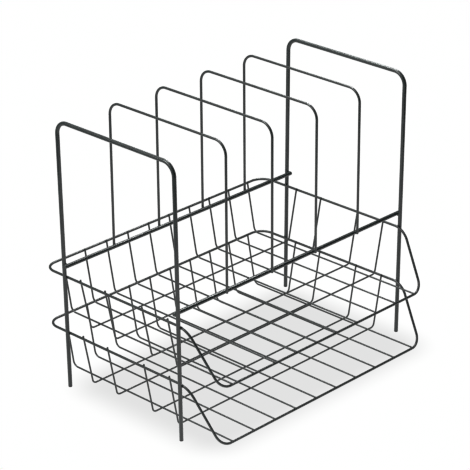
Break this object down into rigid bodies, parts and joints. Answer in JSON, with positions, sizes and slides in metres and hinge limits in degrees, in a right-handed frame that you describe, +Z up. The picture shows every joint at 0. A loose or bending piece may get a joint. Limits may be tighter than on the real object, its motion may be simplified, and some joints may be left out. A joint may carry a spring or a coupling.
{
  "type": "desktop file sorter",
  "caption": "Welded wire desk sorter: inverted-U uprights hold files on edge above two stacked open-front letter trays.",
  "frame": {"origin": "on the desk, under the middle of the whole sorter", "axes": "+X along the sorter's length to the right-hand end frame, +Y to the back (the trays open towards -Y), +Z up"},
  "size_m": [0.338, 0.2451, 0.2983],
  "materials": {
    "frame_coating": "charcoal powder coat, semi-gloss",
    "rim_coating": "charcoal powder coat, semi-gloss",
    "mesh_coating": "charcoal powder coat, semi-gloss"
  },
  "bodies": {
    "sorter": {"end_frame_left": "frame_coating", "end_frame_right": "frame_coating", "rail_front": "frame_coating", "rail_back": "frame_coating", "divider_1": "rim_coating", "divider_2": "rim_coating", "divider_3": "rim_coating", "divider_4": "rim_coating", "lower_tray_rim": "rim_coating", "lower_tray_runner_01": "mesh_coating", "lower_tray_runner_02": "mesh_coating", "lower_tray_runner_03": "mesh_coating", "lower_tray_runner_04": "mesh_coating", "lower_tray_runner_05": "mesh_coating", "lower_tray_runner_06": "mesh_coating", "lower_tray_runner_07": "mesh_coating", "lower_tray_runner_08": "mesh_coating", "lower_tray_runner_09": "mesh_coating", "lower_tray_runner_10": "mesh_coating", "lower_tray_cross_wire_1": "mesh_coating", "lower_tray_cross_wire_2": "mesh_coating", "lower_tray_cross_wire_3": "mesh_coating", "lower_tray_cross_wire_4": "mesh_coating", "upper_tray_rim": "rim_coating", "upper_tray_runner_01": "mesh_coating", "upper_tray_runner_02": "mesh_coating", "upper_tray_runner_03": "mesh_coating", "upper_tray_runner_04": "mesh_coating", "upper_tray_runner_05": "mesh_coating", "upper_tray_runner_06": "mesh_coating", "upper_tray_runner_07": "mesh_coating", "upper_tray_runner_08": "mesh_coating", "upper_tray_runner_09": "mesh_coating", "upper_tray_runner_10": "mesh_coating", "upper_tray_cross_wire_1": "mesh_coating", "upper_tray_cross_wire_2": "mesh_coating", "upper_tray_cross_wire_3": "mesh_coating", "upper_tray_cross_wire_4": "mesh_coating"}
  },
  "joints": []
}
